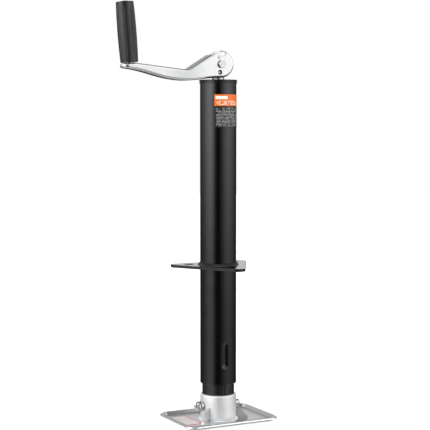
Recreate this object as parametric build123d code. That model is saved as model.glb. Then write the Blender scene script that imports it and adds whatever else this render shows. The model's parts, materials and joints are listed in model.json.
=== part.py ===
from build123d import *
import os
from math import atan2, cos, degrees, hypot, radians, sin, sqrt, tan

# Top-wind trailer tongue jack with a bolt-on triangular flange, a folding crank and a pinned foot.
# Millimetres, +Z up. The origin is on the lead screw's axis, at the ground under the foot.
# -Y is the side of the anti-rotation groove. At rest the crank points to -X.
# The flange and the foot are both turned a little from the groove, by MOUNT_TURN.

# --- Driving dimensions -------------------------------------------------------------------

OUTER_TUBE_R = 57.15 / 2          # 2-1/4 inch jack tube
INNER_TUBE_R = 50.8 / 2           # 2 inch ram tube
TUBE_RUNNING_GAP = 0.08
INNER_TUBE_WALL = 2.8
OUTER_TUBE_Z = (59.5, 536.0)
INNER_TUBE_Z = (3.0, 475.5)

GROOVE_R = 4.6                    # keyway pressed along the ram tube
GROOVE_CENTRE_Y = -(INNER_TUBE_R + 2.4)
RIB_R = GROOVE_R - 0.25           # rib inside the jack tube that runs in the keyway
RIB_Z = (93.0, 119.0)
DIMPLE_R = 7.0                    # the same rib seen from outside, as a pressed dimple
DIMPLE_CENTRE_Y = -(OUTER_TUBE_R + 4.4)
DIMPLE_EDGE_R = 2.5
DIMPLE_END = 3.0                  # the dimple is this much longer than the rib, without its round ends

MOUNT_TURN = 5.0                  # degrees the flange and the foot are turned from the groove
FLANGE_TOP_Z = 248.0
FLANGE_THICKNESS = 4.5
FLANGE_INRADIUS = 43.8
FLANGE_CORNER_R = 12.3
FLANGE_HOLE_R = 8.0
FLANGE_HOLE_CIRCLE_R = 46.0
FLANGE_WELD_LEG = 4.0

CAP_TOP_Z = 538.5
CAP_SKIRT_Z = 533.1
CAP_R = 30.1
CAP_NECK_R = 28.9
CAP_BEAD = 2.1                    # height of the rolled beads at the skirt and the top

SCREW_R = 9.5                     # 3/4 inch lead screw
SCREW_BOTTOM_Z = 97.5
SCREW_RUNNING_GAP = 0.08
TANG_Z = (543.5, 571.5)           # flattened head that the crank straddles
TANG_HALF_X = 9.5
TANG_HALF_Y = 8.5
SEAT_Z = (519.5, OUTER_TUBE_Z[1])
BUSH_R = 12.5
RACE_R = (10.4, 18.0)
RACE_THICKNESS = 3.0
BALL_R = 2.5
BALL_CIRCLE_R = 14.2
BALL_COUNT = 12
BALL_RUNNING_GAP = 0.02
COLLAR_HEIGHT = 12.0
COLLAR_R = 17.0
ROLL_PIN_R = 2.5

NUT_FLANGE = 4.0
NUT_LENGTH = 26.0

PIVOT_Z = 562.7
SHEET = 3.0                       # crank sheet thickness
CRANK_HALF_WIDTH = 14.0           # over the ears
CRANK_HALF_WIDTH_OUTER = 11.5     # at the grip end
EAR_R = 21.0
WEB_DISTANCE = 21.0               # from the pivot to the web's upper face
WEB_SLOPE = 31.8                  # degrees down from the ears to the bend
WEB_START = 16.5                  # the web stops here, clear of the lead screw's head
EAR_RELIEF = 18.0                 # beyond the web, the ears' rims are cut straight at this distance
BEND = (-55.0, -9.4)              # corner of the web's upper face, from the pivot
BEND_R = 16.0
KNEE = (-140.6, -0.1)             # from here out the web is square to the spindle
WEB_END_X = -172.0
LOWER_EDGE = ((-36, -24.3), (-54, -26.0), (-72, -25.2), (-95, -21.6), (-118, -15.8), (-135, -11.7),
              (-149, -9.4), (WEB_END_X, -7.6))
CRANK_TAPER_X = (-28.0, -92.0)    # the sides draw in between these
CRANK_TIP_X = -161.3              # round grip end of the crank, from the pivot
EDGE_R = 3.4                      # rounding between web and sides
DETENT = (-2.6, -12.7)            # spring ball hole in the ears, from the pivot
DETENT_BALL_R = 3.5
DETENT_HOLE_R = 3.8
SLOT = ((-4.8, 10.2), (5.2, 16.2))    # the balls drop in here when the crank is folded
SLOT_R = 2.5

PIVOT_BOLT_R = 3.2                # 1/4 inch bolt
PIVOT_HEX = 11.1                  # across the flats of its head and nut
PIVOT_HEAD = 4.1
PIVOT_NUT = 7.2
PIVOT_TAIL = 9.0                  # bolt left showing beyond the ear
PIVOT_WASHER_R = 8.0

SPINDLE_X = -146.7
SPINDLE_LEAN = -4.5               # degrees about +Y, so that the grip leans outward
SPINDLE_R = 5.0
SPINDLE_RIVET_R = 7.0
SPINDLE_RIVET = 3.0
SPINDLE_WASHER_R = 7.0
GRIP_R = 14.6
GRIP_END_R = 13.6
GRIP_EDGE_R = 1.2
GRIP_Z = (0.9, 92.8)              # along the spindle, from the web's face
GRIP_GROOVES = 8
GRIP_GROOVE_R = 1.8
GRIP_GROOVE_DEPTH = 1.0
GRIP_GROOVE_TURN = 151.0          # degrees from +X to the first groove
GRIP_SMOOTH_END = 5.0             # the grooves stop this far from the ends
GRIP_CAVITY_R = 8.0
GRIP_CAVITY = 12.0                # depth of the hollow at the grip's top
PLUG = 3.0

TRAY_SIZE = (160.0, 120.0)        # over the rim
TRAY_HEIGHT = 7.0
TRAY_SHEET = 2.5
TRAY_RIM_WIDTH = 9.0              # sloping side and lip together
TRAY_LIP_WIDTH = 4.0
TRAY_LIP_R = 2.8                  # the lip rolls over outward
TRAY_CORNER_R = 16.0
FOOT_COLLAR_R = (25.6, 28.5)
FOOT_COLLAR_TOP_Z = 42.5
FOOT_COLLAR_EDGE_R = 2.7
GUSSET_THICKNESS = 5.0
GUSSET_REACH = 47.0
GUSSET_HEIGHT = 20.0
GUSSET_TOE = 3.0                  # upright end of a gusset
GUSSET_LEVEL = 2.0                # level stretch on top, next to the collar
GUSSET_ANGLES = (-30.0, -150.0, 90.0)
FOOT_WELD_LEG = 3.5

PIN_Z = 24.0
PIN_R = 4.75
PIN_HOLE_R = 4.9
PIN_X = (-28.8, 37.5)             # shoulder to tip
PIN_HEAD_R = 7.8
PIN_SHOULDER = 3.2
PIN_LUG_HALF_Y = 3.6
PIN_LUG_THICKNESS = 3.0
PIN_BALL_X = 33.0
PIN_BALL_R = 1.8
RING_X = -39.3
RING_R = 8.75
RING_WIRE_R = 1.1
RING_HOLE_R = 1.5
RING_TURN = -3.0                  # degrees the ring stands away from the collar

LABEL_THICKNESS = 0.3
TUBE_LABEL_Z = (464.2, 515.4)
TUBE_LABEL_ANGLES = (-125.0, -10.0)
FOOT_LABEL_X = (-69.5, -43.0)
FOOT_LABEL_Y = (-26.0, 33.0)


# --- Helpers ------------------------------------------------------------------------------

def cylinder_z(radius, z_low, z_high):
    return Pos(0, 0, (z_low + z_high) / 2) * Cylinder(radius, z_high - z_low)


def ring_z(r_in, r_out, z_low, z_high):
    return cylinder_z(r_out, z_low, z_high) - cylinder_z(r_in, z_low - 1, z_high + 1)


def cylinder_x(radius, x_low, x_high, y=0.0, z=0.0):
    return Pos((x_low + x_high) / 2, y, z) * Rot(0, 90, 0) * Cylinder(radius, x_high - x_low)


def cylinder_y(radius, y_low, y_high, x=0.0, z=0.0):
    return Pos(x, (y_low + y_high) / 2, z) * Rot(90, 0, 0) * Cylinder(radius, y_high - y_low)


def box_between(x_range, y_range, z_range):
    size = [high - low for low, high in (x_range, y_range, z_range)]
    centre = [(low + high) / 2 for low, high in (x_range, y_range, z_range)]
    return Pos(*centre) * Box(*size)


def spin(points):
    """Turn a closed outline of (radius, z) points about Z into a solid."""
    face = make_face(Plane.XZ * Polyline(*points, close=True))
    return revolve(face, Axis.Z)


def hexagon_y(across_flats, y_low, y_high, z):
    """Hexagonal prism along Y with its corners turned off at both ends."""
    sketch = RegularPolygon(across_flats / 2, 6, major_radius=False)
    prism = Pos(0, y_high, z) * Rot(90, 0, 0) * extrude(sketch, y_high - y_low)
    corner_r = across_flats / sqrt(3)
    turned = cylinder_y(corner_r, y_low, y_high, z=z)
    turned = chamfer(turned.edges(), (corner_r - across_flats / 2) * 0.9)
    return prism & turned


def polar(radius, angle):
    return radius * cos(radians(angle)), radius * sin(radians(angle))


def on_foot(shape):
    """Turn a foot piece, modelled along the axes, to where the foot stands."""
    return Rot(0, 0, MOUNT_TURN) * shape


def save(shape, name):
    """Write one node; several separate solids go in as one compound."""
    shape = Compound(children=list(shape)) if isinstance(shape, list) else shape
    shape.label = name
    export_step(shape, f"parts/{name}.step")


# --- Jack tube, flange and cap ------------------------------------------------------------

def is_dimple_edge(edge):
    """True for the edges where the dimple meets the tube's outer face."""
    middle = edge.position_at(0.5)
    on_tube = abs(hypot(middle.X, middle.Y) - OUTER_TUBE_R) < 0.01
    low, high = RIB_Z[0] - DIMPLE_R, RIB_Z[1] + DIMPLE_R
    return on_tube and low < middle.Z < high and abs(middle.X) < DIMPLE_R and middle.Y < 0


def make_outer_tube():
    """Jack tube with its pressed dimple, whose inner rib keeps the ram from turning."""
    bore_r = INNER_TUBE_R + TUBE_RUNNING_GAP
    tube = ring_z(bore_r, OUTER_TUBE_R, *OUTER_TUBE_Z)
    tube = chamfer(tube.edges().group_by(Axis.Z)[0], 0.7)
    rib = Pos(0, GROOVE_CENTRE_Y, 0) * cylinder_z(RIB_R, *RIB_Z)
    rib = rib & cylinder_z(bore_r + 0.5, *RIB_Z)
    dimple_z = (RIB_Z[0] - DIMPLE_END / 2, RIB_Z[1] + DIMPLE_END / 2)
    dimple = Pos(0, DIMPLE_CENTRE_Y, 0) * cylinder_z(DIMPLE_R, *dimple_z)
    for z in dimple_z:
        dimple += Pos(0, DIMPLE_CENTRE_Y, z) * Sphere(DIMPLE_R)
    tube = tube + rib - dimple
    shoulder = [edge for edge in tube.edges() if is_dimple_edge(edge)]
    return fillet(shoulder, DIMPLE_EDGE_R)


def make_flange():
    """Triangular plate with rounded corners, three bolt holes and a bore for the tube."""
    corner = 2 * FLANGE_INRADIUS
    points = [polar(corner, angle + MOUNT_TURN) for angle in (-90, 30, 150)]
    sketch = make_face(Polyline(*points, close=True))
    sketch = fillet(sketch.vertices(), FLANGE_CORNER_R)
    plate = Pos(0, 0, FLANGE_TOP_Z - FLANGE_THICKNESS) * extrude(sketch, FLANGE_THICKNESS)
    plate = chamfer(plate.edges().group_by(Axis.Z)[-1] + plate.edges().group_by(Axis.Z)[0], 0.4)
    plate -= cylinder_z(OUTER_TUBE_R, FLANGE_TOP_Z - 10, FLANGE_TOP_Z + 10)
    for angle in (-90, 30, 150):
        x, y = polar(FLANGE_HOLE_CIRCLE_R, angle + MOUNT_TURN)
        plate -= Pos(x, y, 0) * cylinder_z(FLANGE_HOLE_R, FLANGE_TOP_Z - 10, FLANGE_TOP_Z + 10)
    return plate


def make_flange_weld():
    """Fillet weld bead round the tube on top of the flange."""
    return spin([
        (OUTER_TUBE_R, FLANGE_TOP_Z),
        (OUTER_TUBE_R + FLANGE_WELD_LEG, FLANGE_TOP_Z),
        (OUTER_TUBE_R + FLANGE_WELD_LEG * 0.45, FLANGE_TOP_Z + FLANGE_WELD_LEG * 0.45),
        (OUTER_TUBE_R, FLANGE_TOP_Z + FLANGE_WELD_LEG),
    ])


def make_cap():
    """Pressed cap over the tube's top: a flat plate and a skirt with a rolled bead."""
    plate_low = OUTER_TUBE_Z[1]
    cap = cylinder_z(CAP_NECK_R, plate_low, CAP_TOP_Z)
    cap += ring_z(OUTER_TUBE_R, CAP_NECK_R, CAP_SKIRT_Z, plate_low)
    cap += ring_z(OUTER_TUBE_R, CAP_R, CAP_SKIRT_Z, CAP_SKIRT_Z + CAP_BEAD)
    cap += ring_z(CAP_NECK_R - 1, CAP_R, CAP_TOP_Z - CAP_BEAD, CAP_TOP_Z)
    rims = [edge for edge in cap.edges() if abs(edge.bounding_box().size.X - 2 * CAP_R) < 0.01]
    cap = fillet(rims, 0.8)
    return cap - cylinder_z(SCREW_R + 0.7, CAP_SKIRT_Z, CAP_TOP_Z + 1)


def make_bearing_seat():
    """Steel plug fixed in the top of the tube, which carries the thrust bearing."""
    seat = ring_z(BUSH_R, INNER_TUBE_R + TUBE_RUNNING_GAP, *SEAT_Z)
    return chamfer(seat.edges().group_by(Axis.Z)[0], 1.0)


def make_screw_bush():
    """Bronze bush in the seat, which guides the lead screw's neck."""
    bush = ring_z(SCREW_R + SCREW_RUNNING_GAP, BUSH_R, *SEAT_Z)
    return chamfer(bush.edges().group_by(Axis.Z)[0], 0.5)


# --- Thrust bearing and lead screw --------------------------------------------------------

UPPER_RACE_Z = (SEAT_Z[0] - RACE_THICKNESS, SEAT_Z[0])
BALL_CENTRE_Z = UPPER_RACE_Z[0] - BALL_R - BALL_RUNNING_GAP
LOWER_RACE_Z = (BALL_CENTRE_Z - BALL_R - RACE_THICKNESS, BALL_CENTRE_Z - BALL_R)
COLLAR_Z = (LOWER_RACE_Z[0] - COLLAR_HEIGHT, LOWER_RACE_Z[0])
ROLL_PIN_Z = sum(COLLAR_Z) / 2


def make_race(z_range):
    race = ring_z(*RACE_R, *z_range)
    return chamfer(race.edges(), 0.4)


def ball_places():
    return [polar(BALL_CIRCLE_R, 360 * i / BALL_COUNT) for i in range(BALL_COUNT)]


def make_thrust_balls():
    return [Pos(x, y, BALL_CENTRE_Z) * Sphere(BALL_R) for x, y in ball_places()]


def make_ball_cage():
    cage = ring_z(RACE_R[0] + 0.6, RACE_R[1] - 0.4, BALL_CENTRE_Z - 1, BALL_CENTRE_Z + 1)
    for x, y in ball_places():
        cage -= Pos(x, y, BALL_CENTRE_Z) * Cylinder(BALL_R + 0.1, 10)
    return cage


def make_thrust_collar():
    """Collar under the bearing, pinned to the screw, which takes the lifting load."""
    collar = ring_z(SCREW_R, COLLAR_R, *COLLAR_Z)
    outer = [edge for edge in collar.edges() if edge.bounding_box().size.X > 2 * COLLAR_R - 1]
    collar = chamfer(outer, 1.0)
    return collar - cylinder_x(ROLL_PIN_R, -20, 20, z=ROLL_PIN_Z)


def make_collar_pin():
    pin = cylinder_x(ROLL_PIN_R, -COLLAR_R + 0.6, COLLAR_R - 0.6, z=ROLL_PIN_Z)
    return chamfer(pin.edges().filter_by(GeomType.CIRCLE), 0.5)


def make_lead_screw():
    """Lead screw: a plain shank in place of the thread, and a flattened head for the crank."""
    shank = cylinder_z(SCREW_R, SCREW_BOTTOM_Z, TANG_Z[0])
    shank = chamfer(shank.edges().group_by(Axis.Z)[0], 2.0)
    tang = box_between((-TANG_HALF_X, TANG_HALF_X), (-TANG_HALF_Y, TANG_HALF_Y), TANG_Z)
    tang = fillet(tang.edges().filter_by(Axis.Z), 1.5)
    tang = fillet(tang.edges().group_by(Axis.Z)[-1], 1.2)
    screw = shank + tang
    screw -= cylinder_x(ROLL_PIN_R, -20, 20, z=ROLL_PIN_Z)
    screw -= cylinder_y(PIVOT_BOLT_R + 0.05, -20, 20, z=PIVOT_Z)
    screw -= cylinder_y(DETENT_BALL_R + 0.05, -20, 20, x=DETENT[0], z=PIVOT_Z + DETENT[1])
    return screw


def detent_ball_y():
    ear_inner = CRANK_HALF_WIDTH - SHEET
    return ear_inner - 0.1 - DETENT_BALL_R


def make_detent_balls():
    """Two spring balls that hold the crank open, each just inside an ear's hole."""
    z = PIVOT_Z + DETENT[1]
    return [Pos(DETENT[0], side * detent_ball_y(), z) * Sphere(DETENT_BALL_R) for side in (-1, 1)]


def make_coil(radius, wire_r, length, turns):
    """Coil spring along Z with its middle at the origin."""
    path = Pos(0, 0, -length / 2) * Helix(pitch=length / turns, height=length, radius=radius)
    profile = Plane(origin=path @ 0, z_dir=path % 0) * Circle(wire_r)
    return sweep(profile, path)


def make_detent_spring():
    wire_r = 0.4
    gap = 2 * (detent_ball_y() - DETENT_BALL_R)
    coil = make_coil(DETENT_BALL_R - 0.8, wire_r, gap - 2 * wire_r, 4)
    return Pos(DETENT[0], 0, PIVOT_Z + DETENT[1]) * Rot(90, 0, 0) * coil


# --- Ram ----------------------------------------------------------------------------------

def make_inner_tube():
    """Ram tube with its pressed keyway and the cross holes for the foot pin."""
    bore_r = INNER_TUBE_R - INNER_TUBE_WALL
    rim = cylinder_z(INNER_TUBE_R, *INNER_TUBE_Z)
    fold = Pos(0, GROOVE_CENTRE_Y, 0) * cylinder_z(GROOVE_R + INNER_TUBE_WALL, *INNER_TUBE_Z)
    tube = rim - cylinder_z(bore_r, 0, 500) + (fold & rim)
    tube -= Pos(0, GROOVE_CENTRE_Y, 0) * cylinder_z(GROOVE_R, 0, 500)
    return tube - on_foot(cylinder_x(PIN_HOLE_R, -40, 40, z=PIN_Z))


def make_drive_nut():
    """Flanged nut on top of the ram tube."""
    top = INNER_TUBE_Z[1]
    bore_r = INNER_TUBE_R - INNER_TUBE_WALL
    nut = cylinder_z(bore_r, top - NUT_LENGTH, top)
    nut += cylinder_z(INNER_TUBE_R - 0.3, top, top + NUT_FLANGE)
    fold = Pos(0, GROOVE_CENTRE_Y, 0) * cylinder_z(GROOVE_R + INNER_TUBE_WALL, 0, 500)
    nut -= fold
    return nut - cylinder_z(SCREW_R + SCREW_RUNNING_GAP, 0, 500)


# --- Foot ---------------------------------------------------------------------------------

def make_tray_rim():
    """Half of the tray's sloping side and rolled lip, swept round its +Y half."""
    inset = TRAY_RIM_WIDTH
    half_x, half_y = [side / 2 - inset for side in TRAY_SIZE]
    lip_u = inset - TRAY_LIP_R
    top = TRAY_HEIGHT
    rise = top - TRAY_SHEET
    inner_top = (inset - TRAY_LIP_WIDTH, top)
    inner_foot = (inner_top[0] - rise, TRAY_SHEET)
    lip_low = top - TRAY_LIP_R
    outer_foot = (inner_foot[0] + 1, 0)
    outer_top = (outer_foot[0] + lip_low, lip_low)
    crest = (lip_u + TRAY_LIP_R * sin(radians(45)), lip_low + TRAY_LIP_R * cos(radians(45)))
    lip = ThreePointArc((lip_u, top), crest, (inset, lip_low))
    inside = FilletPolyline((0, TRAY_SHEET), inner_foot, inner_top, (lip_u, top), radius=1.0)
    under = FilletPolyline((inset, lip_low), outer_top, outer_foot, (0, 0), radius=1.0)
    close = Line((0, 0), (0, TRAY_SHEET))
    profile = make_face(Curve() + [lip, inside, under, close])
    path = FilletPolyline((half_x, 0), (half_x, half_y), (-half_x, half_y), (-half_x, 0),
                          radius=TRAY_CORNER_R - inset)
    return sweep(Plane(origin=(half_x, 0, 0), x_dir=(1, 0, 0), z_dir=(0, -1, 0)) * profile, path)


def make_foot_tray():
    """Pressed rectangular tray with sloping sides and a rolled lip."""
    size = [side - 2 * TRAY_RIM_WIDTH + 0.02 for side in TRAY_SIZE]
    floor = extrude(RectangleRounded(*size, TRAY_CORNER_R - TRAY_RIM_WIDTH), TRAY_SHEET)
    rim = make_tray_rim()
    return on_foot(floor + rim + mirror(rim, Plane.XZ))


def make_foot_collar():
    """Collar that the ram tube stands in, with a rounded top edge and the pin's cross holes."""
    collar = ring_z(*FOOT_COLLAR_R, TRAY_SHEET, FOOT_COLLAR_TOP_Z)
    top = collar.edges().group_by(Axis.Z)[-1].sort_by(SortBy.LENGTH)
    collar = fillet(top[-1], FOOT_COLLAR_EDGE_R)
    return collar - on_foot(cylinder_x(PIN_HOLE_R, -40, 40, z=PIN_Z))


def make_gusset():
    """Triangular plate along +X, from the collar out to its toe."""
    inside = FOOT_COLLAR_R[1] - 3
    outline = Polyline(
        (inside, TRAY_SHEET),
        (GUSSET_REACH, TRAY_SHEET),
        (GUSSET_REACH, TRAY_SHEET + GUSSET_TOE),
        (FOOT_COLLAR_R[1] + GUSSET_LEVEL, TRAY_SHEET + GUSSET_HEIGHT),
        (inside, TRAY_SHEET + GUSSET_HEIGHT),
        close=True,
    )
    plate = extrude(make_face(Plane.XZ * outline), GUSSET_THICKNESS / 2, both=True)
    return plate - cylinder_z(FOOT_COLLAR_R[1], 0, FOOT_COLLAR_TOP_Z)


def make_gussets(tray):
    """The three gussets, each trimmed to the tray it stands in."""
    return [on_foot(Rot(0, 0, angle) * make_gusset()) - tray for angle in GUSSET_ANGLES]


def make_foot_welds(gussets):
    """Weld bead between collar and tray, broken where the gussets stand."""
    r = FOOT_COLLAR_R[1]
    bead = spin([
        (r, TRAY_SHEET),
        (r + FOOT_WELD_LEG, TRAY_SHEET),
        (r + FOOT_WELD_LEG * 0.45, TRAY_SHEET + FOOT_WELD_LEG * 0.45),
        (r, TRAY_SHEET + FOOT_WELD_LEG),
    ])
    for gusset in gussets:
        bead -= gusset
    return list(bead.solids())


def make_foot_pin():
    """Quick-release pin: shank, shoulder, flat lug with a hole for the ring, and a ball pocket."""
    shank = cylinder_x(PIN_R, PIN_X[0] - 1, PIN_X[1], z=PIN_Z)
    shank = chamfer(shank.edges().filter_by(GeomType.CIRCLE).group_by(Axis.X)[-1], 1.5)
    shoulder = cylinder_x(PIN_HEAD_R, PIN_X[0] - PIN_SHOULDER, PIN_X[0], z=PIN_Z)
    shoulder = chamfer(shoulder.edges().filter_by(GeomType.CIRCLE), 0.6)
    lug_y = (-PIN_LUG_HALF_Y, PIN_LUG_HALF_Y)
    lug_z = (PIN_Z - PIN_LUG_THICKNESS / 2, PIN_Z + PIN_LUG_THICKNESS / 2)
    lug = box_between((RING_X, PIN_X[0] - 1), lug_y, lug_z)
    lug += Pos(RING_X, 0, PIN_Z) * Cylinder(PIN_LUG_HALF_Y, PIN_LUG_THICKNESS)
    pin = shank + shoulder + lug
    pin -= Pos(RING_X, 0, PIN_Z) * Cylinder(RING_HOLE_R, 30)
    pin -= Pos(PIN_BALL_X, 0, PIN_Z + PIN_R / 2) * Cylinder(PIN_BALL_R + 0.05, PIN_R + 1)
    return on_foot(pin)


def make_pin_ball():
    """Detent ball in the pin's tip, shown pressed in level with the shank."""
    return on_foot(Pos(PIN_BALL_X, 0, PIN_Z + PIN_R + 0.08 - PIN_BALL_R) * Sphere(PIN_BALL_R))


def make_pull_ring():
    """Wire ring that stands through the upright hole in the pin's lug."""
    ring = Pos(0, -RING_R, 0) * Rot(0, 90, 0) * Torus(RING_R, RING_WIRE_R)
    return on_foot(Pos(RING_X, 0, PIN_Z) * Rot(0, 0, RING_TURN) * ring)


# --- Crank --------------------------------------------------------------------------------

def on_web_line(distance, along):
    """Point on the sloping web, at a distance from the pivot and along from its foot."""
    normal = (-sin(radians(WEB_SLOPE)), cos(radians(WEB_SLOPE)))
    downhill = (-cos(radians(WEB_SLOPE)), -sin(radians(WEB_SLOPE)))
    return tuple(distance * n + along * d for n, d in zip(normal, downhill))


def pad_height(x):
    """Height of the web under the grip, where it is square to the spindle, from the pivot."""
    return KNEE[1] + (x - KNEE[0]) * tan(radians(-SPINDLE_LEAN))


def sink(points, depth):
    """Move a run of straight stretches sideways by depth, keeping their corners sharp."""
    directions = [atan2(b[1] - a[1], b[0] - a[0]) for a, b in zip(points, points[1:])]
    before = [directions[0]] + directions
    after = directions + [directions[-1]]
    sunk = []
    for (x, z), first, second in zip(points, before, after):
        middle = (first + second) / 2
        reach = depth / cos((second - first) / 2)
        sunk.append((x + reach * sin(middle), z - reach * cos(middle)))
    return sunk


def web_path(depth):
    """Line of the crank's web from the tip to the ears, sunk by depth below its upper face."""
    tip = (WEB_END_X, pad_height(WEB_END_X))
    points = sink([tip, KNEE, BEND, on_web_line(WEB_DISTANCE, 0)], depth)
    return FilletPolyline(*points, radius=BEND_R), points[0], points[-1]


def plan_outline(inset):
    """Crank seen from above: wide at the ears, narrower outward, with a round tip."""
    wide = CRANK_HALF_WIDTH - inset
    narrow = CRANK_HALF_WIDTH_OUTER - inset
    near, far = CRANK_TAPER_X
    beyond_ears = EAR_R + 10
    tip_centre = CRANK_TIP_X + CRANK_HALF_WIDTH_OUTER
    side = [
        Line((beyond_ears, -wide), (near, -wide)),
        Spline((near, -wide), (far, -narrow), tangents=[(-1, 0), (-1, 0)]),
        Line((far, -narrow), (tip_centre, -narrow)),
    ]
    tip = ThreePointArc((tip_centre, -narrow), (tip_centre - narrow, 0), (tip_centre, narrow))
    end = Line((beyond_ears, -wide), (beyond_ears, wide))
    return make_face(Curve() + side + [mirror(part, Plane.XZ) for part in side] + [tip, end])


def side_outline():
    """Crank seen from the side, from the pivot: tapering arm and round ears."""
    path, tip, start = web_path(0)
    ear_bottom = (0, -EAR_R)
    lower = Spline(ear_bottom, *LOWER_EDGE, tangents=[(-1, 0), (-1, 0.05)])
    end = Line(LOWER_EDGE[-1], tip)
    close = Line(start, ear_bottom)
    arm = make_face(Curve() + [path, end, lower, close])
    return arm + Circle(EAR_R)


def ear_relief():
    """What is cut off the ears' rims beyond the web, on a line along the web's slope."""
    height = 60
    slope = radians(WEB_SLOPE)
    foot = on_web_line(EAR_RELIEF, (WEB_START - EAR_RELIEF * sin(slope)) / cos(slope))
    outline = Polyline(foot, on_web_line(EAR_RELIEF, -height), (foot[0], height), close=True)
    return extrude(Plane.XZ * make_face(outline), CRANK_HALF_WIDTH + 10, both=True)


SAMPLES = [i / 200 for i in range(201)]


def is_web_edge(edge):
    """True for the edges between the web's upper face and the crank's sides and round tip."""
    if abs(edge.position_at(0).Y - edge.position_at(1).Y) > CRANK_HALF_WIDTH:
        return False
    middle = edge.position_at(0.5)
    path, _, _ = web_path(0)
    nearest = min(hypot(middle.X - p.X, middle.Z - p.Y) for p in path.positions(SAMPLES))
    return nearest < 0.6 and edge.length > 3 and middle.X < -EAR_R * 0.4


def crank_slot():
    """Slot across the ears, opposite the spring balls' holes."""
    (x0, z0), (x1, z1) = SLOT
    length = hypot(x1 - x0, z1 - z0)
    shape = SlotOverall(length + 2 * SLOT_R, 2 * SLOT_R)
    shape = Pos((x0 + x1) / 2, (z0 + z1) / 2) * Rot(0, 0, degrees(atan2(z1 - z0, x1 - x0))) * shape
    return extrude(Plane.XZ * shape, CRANK_HALF_WIDTH + 10, both=True)


def crank_hollow():
    """Inside of the channel: under the web, open between the ears."""
    beyond = CRANK_HALF_WIDTH + 10
    deep = 50
    path, tip, start = web_path(SHEET)
    below = Polyline(start, (start[0], -deep), (tip[0], -deep), tip)
    hollow = extrude(Plane.XZ * make_face(Curve() + [path, below]), beyond, both=True)
    gap = CRANK_HALF_WIDTH - SHEET
    hollow += box_between((-WEB_START, 2 * EAR_R), (-gap, gap), (-deep, deep))
    return hollow & (Pos(0, 0, -2 * deep) * extrude(plan_outline(SHEET), 4 * deep))


def make_crank_arm():
    """Folded sheet channel, open below, with two round ears either side of the screw."""
    height = 80
    blank = extrude(Plane.XZ * side_outline(), CRANK_HALF_WIDTH + 10, both=True)
    blank = blank & (Pos(0, 0, -height / 2) * extrude(plan_outline(0), height))
    blank = fillet([edge for edge in blank.edges() if is_web_edge(edge)], EDGE_R)
    arm = blank - crank_hollow() - ear_relief() - crank_slot()
    arm = Pos(0, 0, PIVOT_Z) * arm
    arm -= cylinder_y(PIVOT_BOLT_R + 0.1, -40, 40, z=PIVOT_Z)
    arm -= cylinder_y(DETENT_HOLE_R, -40, 40, x=DETENT[0], z=PIVOT_Z + DETENT[1])
    return arm - on_spindle(Cylinder(SPINDLE_R, 60))


def make_pivot_bolt():
    ear_face = CRANK_HALF_WIDTH
    head = hexagon_y(PIVOT_HEX, -ear_face - PIVOT_HEAD, -ear_face, PIVOT_Z)
    shank = cylinder_y(PIVOT_BOLT_R, -ear_face, ear_face + PIVOT_TAIL, z=PIVOT_Z)
    shank = chamfer(shank.edges().group_by(Axis.Y)[-1], 0.8)
    return head + shank


def make_pivot_nut():
    nut = hexagon_y(PIVOT_HEX, CRANK_HALF_WIDTH, CRANK_HALF_WIDTH + PIVOT_NUT, PIVOT_Z)
    return nut - cylinder_y(PIVOT_BOLT_R, -60, 60, z=PIVOT_Z)


def make_pivot_washers():
    """Washers that centre the screw's head between the ears."""
    ear_inner = CRANK_HALF_WIDTH - SHEET
    washers = []
    for side in (-1, 1):
        faces = sorted((side * (TANG_HALF_Y + 0.05), side * ear_inner))
        washer = cylinder_y(PIVOT_WASHER_R, *faces, z=PIVOT_Z)
        washers.append(washer - cylinder_y(PIVOT_BOLT_R, -40, 40, z=PIVOT_Z))
    return washers


# --- Grip ---------------------------------------------------------------------------------

def on_spindle(shape):
    """Place a shape, modelled upright with the web's face at z = 0, on the leaning spindle."""
    return Pos(SPINDLE_X, 0, PIVOT_Z + pad_height(SPINDLE_X)) * Rot(0, SPINDLE_LEAN, 0) * shape


def make_grip_spindle(arm):
    """Spindle riveted under the web."""
    rod = cylinder_z(SPINDLE_R, -SHEET, GRIP_Z[1] - PLUG - 1)
    rivet = cylinder_z(SPINDLE_RIVET_R, -SHEET - SPINDLE_RIVET, -SHEET)
    rivet = chamfer(rivet.edges().group_by(Axis.Z)[0], 1.5)
    return on_spindle(rod + rivet) - arm


def make_spindle_washer():
    return on_spindle(ring_z(SPINDLE_R, SPINDLE_WASHER_R, 0.05, GRIP_Z[0] - 0.05))


def make_grip():
    """Slightly barrelled hand grip with lengthwise grooves, bored to turn on the spindle."""
    low, high = GRIP_Z
    edge = GRIP_EDGE_R
    middle = (GRIP_R, (low + high) / 2)
    side = ThreePointArc((GRIP_END_R, low + edge), middle, (GRIP_END_R, high - edge))
    foot = RadiusArc((GRIP_END_R, low + edge), (GRIP_END_R - edge, low), edge)
    head = RadiusArc((GRIP_END_R, high - edge), (GRIP_END_R - edge, high), -edge)
    core = Polyline((GRIP_END_R - edge, low), (0, low), (0, high), (GRIP_END_R - edge, high))
    grip = revolve(make_face(Plane.XZ * (Curve() + [side, foot, head, core])), Axis.Z)
    groove = cylinder_z(GRIP_GROOVE_R, low + GRIP_SMOOTH_END, high - GRIP_SMOOTH_END)
    groove_place = GRIP_R + GRIP_GROOVE_R - GRIP_GROOVE_DEPTH
    for i in range(GRIP_GROOVES):
        x, y = polar(groove_place, GRIP_GROOVE_TURN + 360 * i / GRIP_GROOVES)
        grip -= Pos(x, y, 0) * groove
    grip -= cylinder_z(SPINDLE_R + 0.06, low - 1, high)
    grip -= cylinder_z(GRIP_CAVITY_R, high - GRIP_CAVITY, high + 1)
    return on_spindle(grip)


def make_spindle_clip():
    """Push-on ring that keeps the grip on the spindle."""
    top = GRIP_Z[1] - GRIP_CAVITY + 6.5
    return on_spindle(ring_z(SPINDLE_R, GRIP_CAVITY_R - 0.6, top - 1.5, top))


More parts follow.
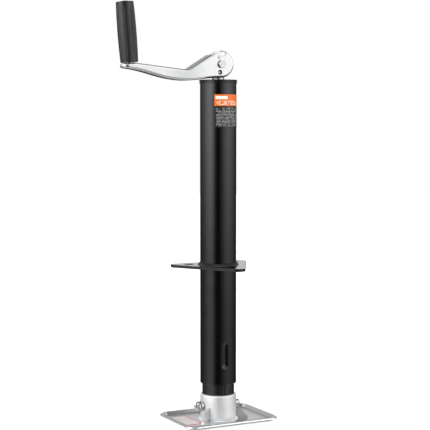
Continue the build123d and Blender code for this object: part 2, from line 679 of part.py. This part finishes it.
def make_grip_plug():
    """Plug that closes the grip's top, slightly domed."""
    top = GRIP_Z[1]
    dome_r = 24.0
    plug = cylinder_z(GRIP_CAVITY_R, top - PLUG, top)
    dome = Pos(0, 0, top + 1.5 - dome_r) * Sphere(dome_r)
    return on_spindle(plug + (dome & cylinder_z(GRIP_CAVITY_R, top - 0.5, top + PLUG)))


# --- Labels -------------------------------------------------------------------------------

def make_tube_label():
    """Plain sticker wrapped round part of the tube."""
    sleeve = ring_z(OUTER_TUBE_R, OUTER_TUBE_R + LABEL_THICKNESS, *TUBE_LABEL_Z)
    low, high = TUBE_LABEL_ANGLES
    reach = 80
    points = [(0, 0)] + [polar(reach, low + (high - low) * i / 4) for i in range(5)]
    wedge = extrude(make_face(Polyline(*points, close=True)), 600)
    return sleeve & wedge


def make_foot_label():
    """Plain sticker on the tray's floor."""
    z_range = (TRAY_SHEET, TRAY_SHEET + LABEL_THICKNESS)
    return on_foot(box_between(FOOT_LABEL_X, FOOT_LABEL_Y, z_range))


# --- Nodes --------------------------------------------------------------------------------

def main():
    os.makedirs("parts", exist_ok=True)
    arm = make_crank_arm()
    tray = make_foot_tray()
    gussets = make_gussets(tray)
    nodes = {
        "outer_tube": make_outer_tube(),
        "mounting_flange": make_flange(),
        "flange_weld": make_flange_weld(),
        "top_cap": make_cap(),
        "bearing_seat": make_bearing_seat(),
        "screw_bush": make_screw_bush(),
        "upper_thrust_race": make_race(UPPER_RACE_Z),
        "thrust_balls": make_thrust_balls(),
        "ball_cage": make_ball_cage(),
        "lower_thrust_race": make_race(LOWER_RACE_Z),
        "thrust_collar": make_thrust_collar(),
        "collar_roll_pin": make_collar_pin(),
        "lead_screw": make_lead_screw(),
        "detent_balls": make_detent_balls(),
        "detent_spring": make_detent_spring(),
        "inner_tube": make_inner_tube(),
        "drive_nut": make_drive_nut(),
        "foot_tray": tray,
        "foot_collar": make_foot_collar(),
        "foot_gussets": gussets,
        "foot_welds": make_foot_welds(gussets),
        "foot_pin": make_foot_pin(),
        "pin_detent_ball": make_pin_ball(),
        "pull_ring": make_pull_ring(),
        "crank_arm": arm,
        "pivot_bolt": make_pivot_bolt(),
        "pivot_nut": make_pivot_nut(),
        "pivot_washers": make_pivot_washers(),
        "grip_spindle": make_grip_spindle(arm),
        "spindle_washer": make_spindle_washer(),
        "hand_grip": make_grip(),
        "spindle_clip": make_spindle_clip(),
        "grip_plug": make_grip_plug(),
        "tube_label": make_tube_label(),
        "foot_label": make_foot_label(),
    }
    for name, shape in nodes.items():
        save(shape, name)


main()
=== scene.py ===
import json
from math import cos, pi, radians, sin

import bmesh
import bpy
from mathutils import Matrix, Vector

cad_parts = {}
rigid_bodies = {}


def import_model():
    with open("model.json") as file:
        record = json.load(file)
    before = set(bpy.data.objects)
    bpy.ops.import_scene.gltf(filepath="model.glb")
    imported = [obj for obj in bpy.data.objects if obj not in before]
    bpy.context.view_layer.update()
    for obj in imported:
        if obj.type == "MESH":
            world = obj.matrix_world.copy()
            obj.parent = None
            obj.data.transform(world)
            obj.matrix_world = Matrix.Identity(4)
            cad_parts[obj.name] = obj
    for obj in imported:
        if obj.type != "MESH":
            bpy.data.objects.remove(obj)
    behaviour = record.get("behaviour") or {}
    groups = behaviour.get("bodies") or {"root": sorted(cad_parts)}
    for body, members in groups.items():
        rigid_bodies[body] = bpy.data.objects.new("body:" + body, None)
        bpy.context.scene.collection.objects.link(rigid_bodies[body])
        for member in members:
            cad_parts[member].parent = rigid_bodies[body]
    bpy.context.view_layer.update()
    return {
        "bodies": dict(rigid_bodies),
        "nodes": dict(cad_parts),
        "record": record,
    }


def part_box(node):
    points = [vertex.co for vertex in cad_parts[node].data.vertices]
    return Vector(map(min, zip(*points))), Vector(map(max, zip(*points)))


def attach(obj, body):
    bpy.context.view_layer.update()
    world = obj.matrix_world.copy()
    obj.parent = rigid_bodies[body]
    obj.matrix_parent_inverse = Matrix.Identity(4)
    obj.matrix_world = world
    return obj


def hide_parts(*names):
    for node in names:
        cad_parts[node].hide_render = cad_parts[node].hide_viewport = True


# Trailer tongue jack in a plain white studio. Metres, the same axes as the CAD frame.

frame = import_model()

MOUNT_TURN = 5.0                  # degrees the flange and the foot are turned about Z

# --- Camera -------------------------------------------------------------------------------

CAMERA_AZIMUTH = -23.0            # degrees; 0 looks along +Y
CAMERA_DISTANCE = 2.0             # level distance from the jack's axis
CAMERA_HEIGHT = 0.4688
CAMERA_TILT = 4.075               # degrees down
CLIP_END = 50
FOCAL_PIXELS = 1269.6
FRAME_PIXELS = 430
SENSOR = 36.0
AXIS_SHIFT = -3.2 / FRAME_PIXELS  # the jack stands a little right of the middle


def view_direction(azimuth):
    """Level unit vector from the object towards a camera at this azimuth."""
    return Vector((sin(radians(azimuth)), -cos(radians(azimuth)), 0))


def add_camera():
    data = bpy.data.cameras.new("camera")
    data.sensor_width = SENSOR
    data.lens = FOCAL_PIXELS * SENSOR / FRAME_PIXELS
    data.shift_x = AXIS_SHIFT
    data.clip_end = CLIP_END
    camera = bpy.data.objects.new("camera", data)
    bpy.context.scene.collection.objects.link(camera)
    camera.location = view_direction(CAMERA_AZIMUTH) * CAMERA_DISTANCE
    camera.location.z = CAMERA_HEIGHT
    camera.rotation_euler = (radians(90 - CAMERA_TILT), 0, radians(CAMERA_AZIMUTH))
    bpy.context.scene.camera = camera


# --- Node trees ---------------------------------------------------------------------------

class Tree:
    """Short way to write a shader node tree."""

    def __init__(self, tree):
        self.tree = tree

    def put(self, value, socket):
        """Link an output to a socket, or set the socket to a plain value."""
        if isinstance(value, bpy.types.NodeSocket):
            self.tree.links.new(value, socket)
        else:
            socket.default_value = value

    def node(self, kind, inputs=(), **settings):
        """Add a node. inputs are (socket, value or output) pairs."""
        node = self.tree.nodes.new(kind)
        for name, value in settings.items():
            setattr(node, name, value)
        for name, value in inputs:
            self.put(value, node.inputs[name])
        return node

    def math(self, operation, *values):
        return self.node("ShaderNodeMath", enumerate(values), operation=operation).outputs[0]

    def product(self, first, *others):
        """Product of two or more values."""
        for other in others:
            first = self.math("MULTIPLY", first, other)
        return first

    def dot(self, vector, direction):
        inputs = [(0, vector), (1, tuple(direction))]
        return self.node("ShaderNodeVectorMath", inputs, operation="DOT_PRODUCT").outputs["Value"]

    def grey_ramp(self, factor, stops):
        """Grey level along a factor. stops are (place, level) pairs."""
        node = self.node("ShaderNodeValToRGB", [(0, factor)])
        elements = node.color_ramp.elements
        elements.remove(elements[-1])
        for index, (place, level) in enumerate(stops):
            element = elements[0] if index == 0 else elements.new(place)
            element.position = place
            element.color = (level, level, level, 1)
        return node.outputs[0]

    def scale_map(self, value, low, high, to_low=0.0, to_high=1.0, smooth=True):
        """Map a value from one range to another, clamped."""
        kind = "SMOOTHSTEP" if smooth else "LINEAR"
        inputs = [(0, value), (1, low), (2, high), (3, to_low), (4, to_high)]
        return self.node("ShaderNodeMapRange", inputs, interpolation_type=kind).outputs[0]

    def mix(self, factor, a, b):
        """Mix two colours."""
        node = self.node("ShaderNodeMix", data_type="RGBA")
        for index, value in ((0, factor), (6, a), (7, b)):
            self.put(value, node.inputs[index])
        return node.outputs[2]


def grey(level):
    return (level, level, level, 1)


# --- Studio light -------------------------------------------------------------------------

LIGHT_SCALE = 4.0                 # the ramps below hold light levels divided by this

# Light at the camera's own height by bearing: degrees right of the camera, light level.
LEVEL_LIGHT = (
    (-180, 0.06), (-142, 0.22), (-113, 0.67), (-95, 1.3), (-76, 2.8), (-52, 4.0), (-36, 3.1),
    (-20, 0.6), (-9, 0.03), (6, 0.02), (16, 0.28), (30, 0.95), (44, 1.7), (60, 2.3), (73, 2.15),
    (90, 1.6), (109, 0.8), (135, 0.1), (180, 0.06),
)
# Share of that light by height above the level: degrees up, share; left and right of the camera.
LEFT_SHARE = (
    (-90, 0.4), (-40, 0.4), (-12, 0.28), (-9, 0.25), (-7, 0.21), (2, 1.0), (30, 1.0), (90, 1.0),
)
RIGHT_SHARE = (
    (-90, 0.5), (-40, 0.5), (-12, 0.26), (-8, 0.29), (-6, 0.43), (2, 1.05), (30, 1.0), (90, 1.0),
)
LEFT_TO_RIGHT = (0.49, 0.51)      # places round the ramp where one share gives way to the other
# Light behind the object, by height.
BACK_LIGHT = (
    (-90, 0.6), (-40, 0.5), (-16, 0.04), (2.5, 0.04), (5, 1.3), (7, 1.25), (10, 0.9), (14, 0.9),
    (20, 0.4), (45, 0.2), (90, 0.25),
)
BACK_BEARINGS = (118, 150)        # degrees from the camera between which the back light takes over
# Light overhead at the front, and straight up: share by height, and level.
FRONT_OVERHEAD = ((-90, 0.0), (25, 0.0), (45, 1.0), (90, 1.0))
FRONT_OVERHEAD_LIGHT = 1.35
ZENITH = ((-90, 0.0), (42, 0.0), (66, 1.0), (90, 1.0))
ZENITH_LIGHT = 0.26


def bearing_place(degrees):
    return (degrees + 180) / 360


def height_place(degrees):
    return (degrees + 90) / 180


def by_height(tree, height, stops, scale=1.0):
    """Grey level by height above the level."""
    return tree.grey_ramp(height, [(height_place(a), v / scale) for a, v in stops])


def studio_directions(tree):
    """Bearing and height of a view ray, each from 0 to 1."""
    direction = tree.node("ShaderNodeTexCoord").outputs["Generated"]
    towards = view_direction(CAMERA_AZIMUTH)
    right = Vector((cos(radians(CAMERA_AZIMUTH)), sin(radians(CAMERA_AZIMUTH)), 0))
    bearing = tree.math("ARCTAN2", tree.dot(direction, right), tree.dot(direction, towards))
    bearing = tree.math("MULTIPLY_ADD", bearing, 1 / (2 * pi), 0.5)
    height = tree.math("ARCSINE", tree.dot(direction, (0, 0, 1)))
    height = tree.math("MULTIPLY_ADD", height, 1 / pi, 0.5)
    return bearing, height


def studio_light(tree):
    """Colour of the light by direction, divided by LIGHT_SCALE."""
    bearing, height = studio_directions(tree)
    level_stops = [(bearing_place(a), v / LIGHT_SCALE) for a, v in LEVEL_LIGHT]
    level = tree.grey_ramp(bearing, level_stops)
    is_right = tree.scale_map(bearing, *LEFT_TO_RIGHT)
    left_share = by_height(tree, height, LEFT_SHARE)
    share = tree.mix(is_right, left_share, by_height(tree, height, RIGHT_SHARE))
    sides = tree.product(level, share)

    overhead = by_height(tree, height, FRONT_OVERHEAD)
    light = tree.mix(overhead, sides, grey(FRONT_OVERHEAD_LIGHT / LIGHT_SCALE))
    off_axis = tree.math("ABSOLUTE", tree.math("SUBTRACT", bearing, 0.5))
    is_back = tree.scale_map(off_axis, *[bearing_place(a) - 0.5 for a in BACK_BEARINGS])
    light = tree.mix(is_back, light, by_height(tree, height, BACK_LIGHT, LIGHT_SCALE))
    zenith = by_height(tree, height, ZENITH)
    return tree.mix(zenith, light, grey(ZENITH_LIGHT / LIGHT_SCALE))


def add_world():
    """Soft studio all round, white to the camera."""
    world = bpy.data.worlds.new("studio")
    bpy.context.scene.world = world
    world.use_nodes = True
    world.node_tree.nodes.clear()
    tree = Tree(world.node_tree)
    light = [("Color", studio_light(tree)), ("Strength", LIGHT_SCALE)]
    studio = tree.node("ShaderNodeBackground", light)
    white = tree.node("ShaderNodeBackground", [("Color", grey(1)), ("Strength", 1.0)])
    seen = tree.node("ShaderNodeLightPath").outputs["Is Camera Ray"]
    inputs = [(0, seen), (1, studio.outputs[0]), (2, white.outputs[0])]
    mixed = tree.node("ShaderNodeMixShader", inputs)
    tree.node("ShaderNodeOutputWorld", [("Surface", mixed.outputs[0])])


FLOOR_HALF = 6.0
FLOOR_Z = -0.0004                 # just under the foot, so that the two faces don't fight
FLOOR_COLOUR = 0.93
FLOOR_GLOW = 0.55


def add_floor():
    """Plain pale floor, bright enough to melt into the white behind it. It stays under the foot."""
    material = bpy.data.materials.new("floor")
    material.use_nodes = True
    surface = material.node_tree.nodes["Principled BSDF"]
    surface.inputs["Base Color"].default_value = grey(FLOOR_COLOUR)
    surface.inputs["Roughness"].default_value = 1.0
    surface.inputs["Specular IOR Level"].default_value = 0.0
    surface.inputs["Emission Color"].default_value = grey(1)
    surface.inputs["Emission Strength"].default_value = FLOOR_GLOW
    mesh = bpy.data.meshes.new("floor")
    signs = ((-1, -1), (1, -1), (1, 1), (-1, 1))
    corners = [(x * FLOOR_HALF, y * FLOOR_HALF, FLOOR_Z) for x, y in signs]
    mesh.from_pydata(corners, [], [(0, 1, 2, 3)])
    mesh.materials.append(material)
    floor = bpy.data.objects.new("floor", mesh)
    bpy.context.scene.collection.objects.link(floor)
    floor.visible_glossy = False
    bpy.context.view_layer.update()
    ram = frame["bodies"]["ram"]
    floor.parent = ram
    floor.matrix_parent_inverse = ram.matrix_world.inverted()


# --- Finishes -----------------------------------------------------------------------------

NOISE_MIDDLE = (0.3, 0.7)         # most of a noise texture's values lie between these
CLOUD_MIDDLE = (0.35, 0.65)       # the same for the broad clouds in zinc

# Noise scales: features are about one metre divided by the scale.
PAINT_GLOSS_SCALE = 60
PAINT_PEEL_SCALE = 900
CLOUD_SCALE = 45
ZINC_GLOSS_SCALE = 900
ZINC_GRAIN_SCALE = 1200
PLASTIC_GLOSS_SCALE = 80
RING_STRETCH = (20, 20, 1500)     # fine along Z and broad round it
RING_DEPTH = 0.00003


def new_material(name, colour, metallic, roughness):
    material = bpy.data.materials.new(name)
    material.use_nodes = True
    tree = Tree(material.node_tree)
    surface = material.node_tree.nodes["Principled BSDF"]
    surface.inputs["Base Color"].default_value = (*colour, 1)
    surface.inputs["Metallic"].default_value = metallic
    surface.inputs["Roughness"].default_value = roughness
    return material, tree, surface


def place_of(tree, stretch=(1, 1, 1)):
    """Place on the object in metres, stretched along each axis."""
    place = tree.node("ShaderNodeTexCoord").outputs["Object"]
    return tree.node("ShaderNodeMapping", [("Vector", place), ("Scale", stretch)]).outputs[0]


def noise(tree, place, scale, detail=3.0):
    inputs = [("Vector", place), ("Scale", scale), ("Detail", detail)]
    return tree.node("ShaderNodeTexNoise", inputs).outputs["Fac"]


def bump(tree, surface, height, distance):
    inputs = [("Height", height), ("Distance", distance), ("Strength", 1.0)]
    tree.put(tree.node("ShaderNodeBump", inputs).outputs[0], surface.inputs["Normal"])


def vary_roughness(tree, surface, texture, low, high):
    tree.put(tree.scale_map(texture, *NOISE_MIDDLE, low, high), surface.inputs["Roughness"])


def paint(name, colour, roughness, grain, grain_scale=PAINT_PEEL_SCALE, stretch=(1, 1, 1)):
    """Sprayed paint with a fine orange peel."""
    material, tree, surface = new_material(name, colour, 0.0, roughness)
    place = place_of(tree, stretch)
    gloss = noise(tree, place, PAINT_GLOSS_SCALE)
    vary_roughness(tree, surface, gloss, roughness * 0.85, roughness * 1.2)
    bump(tree, surface, noise(tree, place, grain_scale), grain)
    return material


def plated(name, colour, roughness, cloud, stretch=(1, 1, 1), grain=0.000003):
    """Zinc plate: slightly uneven in tone and gloss, with a very fine grain."""
    material, tree, surface = new_material(name, colour, 1.0, roughness)
    place = place_of(tree, stretch)
    clouds = noise(tree, place, CLOUD_SCALE, 4.0)
    dark = tuple(c * (1 - cloud) for c in colour)
    light = tuple(min(1.0, c * (1 + cloud)) for c in colour)
    tone = tree.mix(tree.scale_map(clouds, *CLOUD_MIDDLE), (*dark, 1), (*light, 1))
    tree.put(tone, surface.inputs["Base Color"])
    gloss = noise(tree, place, ZINC_GLOSS_SCALE, 2.0)
    vary_roughness(tree, surface, gloss, roughness * 0.9, roughness * 1.1)
    bump(tree, surface, noise(tree, place, ZINC_GRAIN_SCALE, 2.0), grain)
    return material


def turned(name, colour, roughness):
    """Turned metal with rings round the Z axis."""
    material, tree, surface = new_material(name, colour, 1.0, roughness)
    rings = noise(tree, place_of(tree, RING_STRETCH), 1.0, 2.0)
    vary_roughness(tree, surface, rings, roughness * 0.8, roughness * 1.3)
    bump(tree, surface, rings, RING_DEPTH)
    return material


def plastic(name, colour, roughness, grain, scale):
    """Moulded plastic with a fine spark-eroded texture."""
    material, tree, surface = new_material(name, colour, 0.0, roughness)
    place = place_of(tree)
    gloss = noise(tree, place, PLASTIC_GLOSS_SCALE)
    vary_roughness(tree, surface, gloss, roughness * 0.9, roughness * 1.15)
    bump(tree, surface, noise(tree, place, scale), grain)
    return material


# --- Printed labels -----------------------------------------------------------------------

EDGE_SOFT = 0.00008               # half the width over which one printed colour turns into another
LABEL_NOISE_SCALE = 300
ROW_JUMP = 7.31                   # step through the noise from one row of bars to the next
BAR_EDGE = 0.02                   # rise of the noise over which a bar begins


def step(tree, value, edge):
    """0 below an edge and 1 above it."""
    return tree.scale_map(value, edge - EDGE_SOFT, edge + EDGE_SOFT, smooth=False)


def window(tree, value, low, high):
    """1 between two edges and 0 outside them."""
    return tree.math("SUBTRACT", step(tree, value, low), step(tree, value, high))


def rectangle(tree, across, up, across_edges, up_edges):
    """1 inside a rectangle and 0 outside it."""
    return tree.product(window(tree, up, *up_edges), window(tree, across, *across_edges))


def broken_bars(tree, along, across, pitch, share, seed, coarse, keep):
    """Rows of broken bars. share of each row's pitch is filled. The noise runs at coarse cycles
    a metre along a row from a place of its own, seed, and makes a bar where it is above keep."""
    row = tree.math("DIVIDE", across, pitch)
    row_index = tree.math("FLOOR", row)
    in_row = tree.math("LESS_THAN", tree.math("FRACT", row), share)
    x = tree.math("MULTIPLY", along, coarse)
    y = tree.math("MULTIPLY", row_index, ROW_JUMP)
    cell = tree.node("ShaderNodeCombineXYZ", [(0, x), (1, y), (2, seed)]).outputs[0]
    is_bar = tree.scale_map(noise(tree, cell, 1.0, 1.0), keep, keep + BAR_EDGE, smooth=False)
    return tree.product(in_row, is_bar)


def label_gloss(tree, surface, place, low, high):
    vary_roughness(tree, surface, noise(tree, place, LABEL_NOISE_SCALE), low, high)


TUBE_R = 0.02858                  # the label is bent round the jack tube
TUBE_LABEL_Z = (0.4642, 0.5154)
TUBE_LABEL_LEFT = radians(-125) * TUBE_R
ORANGE_LOW_Z = 0.4975             # orange above, black below
ORANGE = (0.72, 0.145, 0.003)
LABEL_BLACK = (0.006, 0.006, 0.007)
LABEL_INK = (0.30, 0.30, 0.30)
LABEL_WHITE = (0.95, 0.85, 0.78)
WIDE_BAR = ((0.002, 0.021), (0.5082, 0.5128))     # from the label's left edge; heights
HEAD_BARS = ((0.002, 0.040), (0.4995, 0.5065))
BODY_BARS = ((0.0025, 0.0475), (TUBE_LABEL_Z[0] + 0.002, ORANGE_LOW_Z - 0.0022))


def tube_label_material():
    """Orange band over a black one, with plain bars where a maker would print."""
    material, tree, surface = new_material("tube_label", ORANGE, 0.0, 0.3)
    xyz = tree.node("ShaderNodeSeparateXYZ", [(0, place_of(tree))])
    x, y, z = (xyz.outputs[i] for i in range(3))
    along = tree.math("MULTIPLY", tree.math("ARCTAN2", y, x), TUBE_R)

    def area(box):
        edges = [TUBE_LABEL_LEFT + edge for edge in box[0]]
        return rectangle(tree, along, z, edges, box[1])

    rows = broken_bars(tree, along, z, pitch=0.0022, share=0.42, seed=3.7, coarse=420, keep=0.44)
    body_bars = tree.product(rows, area(BODY_BARS))
    body = tree.mix(body_bars, (*LABEL_BLACK, 1), (*LABEL_INK, 1))
    rows = broken_bars(tree, along, z, pitch=0.0024, share=0.5, seed=9.1, coarse=520, keep=0.47)
    head_bars = tree.product(rows, area(HEAD_BARS))
    white = tree.math("MAXIMUM", area(WIDE_BAR), head_bars)
    head = tree.mix(white, (*ORANGE, 1), (*LABEL_WHITE, 1))
    is_head = step(tree, z, ORANGE_LOW_Z)
    tree.put(tree.mix(is_head, body, head), surface.inputs["Base Color"])
    label_gloss(tree, surface, place_of(tree), 0.25, 0.38)
    return material


# The foot's label lies along the foot's own axes.
FOOT_LABEL_X = (-0.0695, -0.0430)
FOOT_LABEL_Y = (-0.0260, 0.0330)
BORDER = 0.0016
BARS_MARGIN = 0.004
BARS_END_MARGIN = 0.012
LABEL_RED = (0.80, 0.05, 0.04)
LABEL_PAPER = (0.92, 0.89, 0.89)
BARS_INK = 0.5                    # how strongly the bars are printed


def foot_label_material():
    """White label with a red border and plain bars of small print."""
    material, tree, surface = new_material("foot_label", LABEL_PAPER, 0.0, 0.35)
    place = tree.node("ShaderNodeTexCoord").outputs["Object"]
    inputs = [("Vector", place), ("Rotation", (0, 0, radians(-MOUNT_TURN)))]
    place = tree.node("ShaderNodeMapping", inputs).outputs[0]
    xyz = tree.node("ShaderNodeSeparateXYZ", [(0, place)])
    x, y = xyz.outputs[0], xyz.outputs[1]

    x_edges = (FOOT_LABEL_X[0] + BORDER, FOOT_LABEL_X[1] - BORDER)
    y_edges = (FOOT_LABEL_Y[0] + BORDER, FOOT_LABEL_Y[1] - BORDER)
    border = tree.math("SUBTRACT", 1.0, rectangle(tree, y, x, y_edges, x_edges))
    x_edges = (FOOT_LABEL_X[0] + BARS_MARGIN, FOOT_LABEL_X[1] - BARS_MARGIN)
    y_edges = (FOOT_LABEL_Y[0] + BARS_MARGIN, FOOT_LABEL_Y[1] - BARS_END_MARGIN)
    rows = broken_bars(tree, y, x, pitch=0.0028, share=0.45, seed=5.3, coarse=330, keep=0.47)
    bars = tree.product(rows, rectangle(tree, y, x, y_edges, x_edges), BARS_INK)
    tone = tree.mix(bars, (*LABEL_PAPER, 1), (*LABEL_RED, 1))
    tree.put(tree.mix(border, tone, (*LABEL_RED, 1)), surface.inputs["Base Color"])
    label_gloss(tree, surface, place, 0.3, 0.42)
    return material


# --- Weld beads ---------------------------------------------------------------------------

RIPPLE_PITCH = 0.0019             # one ripple of a bead for each dab of the torch
RIPPLE_DEPTH = 0.16               # share of the bead's leg that a ripple's valley loses
RIPPLE_STEPS = 8
ARC_STEPS = 6
END_SIZE = 0.45                   # share of its full size that a bead has at its ends
FLAT_SWELL = 0.72                 # how far a bead's face stands out, half way round
BEAD_SINK = 0.0002                # how far a bead reaches into what it joins
GUSSET_ANGLES = (-30.0, 90.0, 210.0)
GUSSET_SPACING = 120.0
FOOT_GAP = 7.0                    # degrees a foot bead stops short of a gusset's middle


def bead_section(root_r, base_z, leg, turn):
    """Points across a bead, from its toe on the plate up to its top on the tube."""
    inner = root_r - BEAD_SINK
    points = [(inner, base_z - BEAD_SINK), (root_r + leg, base_z - BEAD_SINK)]
    for i in range(ARC_STEPS + 1):
        angle = radians(90) * i / ARC_STEPS
        swell = FLAT_SWELL + (1 - FLAT_SWELL) * abs(cos(2 * angle))
        points.append((root_r + leg * cos(angle) * swell, base_z + leg * sin(angle) * swell))
    points.append((inner, base_z + leg))
    return [(r * cos(turn), r * sin(turn), z) for r, z in points]


def bead_share(i, count, closed):
    """Share of a bead's leg at its step i: rippled, and tapered at both ends of an open bead."""
    share = 1 - RIPPLE_DEPTH * (1 - abs(cos(pi * i / RIPPLE_STEPS)))
    if closed:
        return share
    return share * min(1.0, END_SIZE + (1 - END_SIZE) * min(i, count - i) / RIPPLE_STEPS)


def add_bead_span(bm, root_r, base_z, leg, first, last):
    """One closed stretch of bead between two bearings in degrees."""
    length = radians(last - first) * root_r
    count = max(1, round(length / RIPPLE_PITCH)) * RIPPLE_STEPS
    closed = last - first >= 360
    rings = []
    for i in range(count if closed else count + 1):
        size = leg * bead_share(i, count, closed)
        turn = radians(first + (last - first) * i / count)
        rings.append([bm.verts.new(p) for p in bead_section(root_r, base_z, size, turn)])
    following = rings[1:] + rings[:1] if closed else rings[1:]
    for here, there in zip(rings, following):
        for a in range(len(here)):
            b = (a + 1) % len(here)
            bm.faces.new((here[a], there[a], there[b], here[b]))
    if not closed:
        bm.faces.new(rings[0])
        bm.faces.new(reversed(rings[-1]))


def weld_bead(name, root_r, base_z, leg, spans):
    """Rippled bead round the Z axis. spans are (first, last) bearings in degrees."""
    bm = bmesh.new()
    for first, last in spans:
        add_bead_span(bm, root_r, base_z, leg, first, last)
    bmesh.ops.recalc_face_normals(bm, faces=bm.faces)
    mesh = bpy.data.meshes.new(name)
    bm.to_mesh(mesh)
    bm.free()
    mesh.shade_smooth()
    bead = bpy.data.objects.new(name, mesh)
    bpy.context.scene.collection.objects.link(bead)
    return bead


def bead_size(node):
    """Root radius, base height and leg of a CAD bead, from its box."""
    low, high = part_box(node)
    leg = high.z - low.z
    return max(high.y, -low.y) - leg, low.z, leg


def add_weld_bead(name, node, body, slot, spans, finishes):
    """Rippled bead in place of a plain CAD one."""
    bead = weld_bead(name, *bead_size(node), spans)
    bead.data.materials.append(finishes[slot])
    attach(bead, body)
    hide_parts(node)


def add_weld_beads(finishes):
    starts = [angle + MOUNT_TURN for angle in GUSSET_ANGLES]
    foot_spans = [(start + FOOT_GAP, start + GUSSET_SPACING - FOOT_GAP) for start in starts]
    add_weld_bead("flange_bead", "flange_weld", "housing", "black_paint", [(0, 360)], finishes)
    add_weld_bead("foot_bead", "foot_welds", "ram", "zinc_foot", foot_spans, finishes)


# --- Dressing the CAD nodes ---------------------------------------------------------------

OWN_FINISH = {"foot_collar": "zinc_collar"}       # duller than the rest of the foot


def make_finishes():
    """Every finish by the name of its material slot."""
    along_crank = (0.35, 1, 1)
    along_ram = (1, 1, 0.15)
    return {
        "black_paint": paint("black_paint", (0.002, 0.002, 0.0022), 0.16, grain=0.00001),
        "ram_paint": paint("ram_paint", (0.008, 0.008, 0.009), 0.24, 0.00003, 500, along_ram),
        "machined_steel": turned("machined_steel", (0.5, 0.5, 0.5), 0.3),
        "screw_steel": turned("screw_steel", (0.42, 0.42, 0.42), 0.28),
        "bronze": turned("bronze", (0.62, 0.42, 0.2), 0.3),
        "bearing_steel": plated("bearing_steel", (0.72, 0.72, 0.73), 0.12, 0.02, grain=0.000002),
        "zinc_crank": plated("zinc_crank", (0.63, 0.635, 0.64), 0.28, 0.015, along_crank, 0.000002),
        "zinc_foot": plated("zinc_foot", (0.74, 0.745, 0.75), 0.30, cloud=0.03),
        "zinc_collar": plated("zinc_collar", (0.86, 0.865, 0.87), 0.62, cloud=0.02),
        "zinc_small": plated("zinc_small", (0.50, 0.50, 0.51), 0.26, cloud=0.05),
        "grip_plastic": plastic("grip_plastic", (0.010, 0.010, 0.0105), 0.34, 0.00003, 1400),
        "tube_label": tube_label_material(),
        "foot_label": foot_label_material(),
    }


def dress(finishes):
    """Give every CAD node the finish that its record slot names."""
    slots = {part["node"]: part["material_slot"] for part in frame["record"]["subparts"]}
    for name, node in frame["nodes"].items():
        finish = finishes[OWN_FINISH.get(name, slots[name])]
        if not node.material_slots:
            node.data.materials.append(finish)
        for place in node.material_slots:
            place.material = finish


add_camera()
add_world()
add_floor()
finishes = make_finishes()
dress(finishes)
add_weld_beads(finishes)
bpy.context.scene.view_settings.view_transform = "Standard"
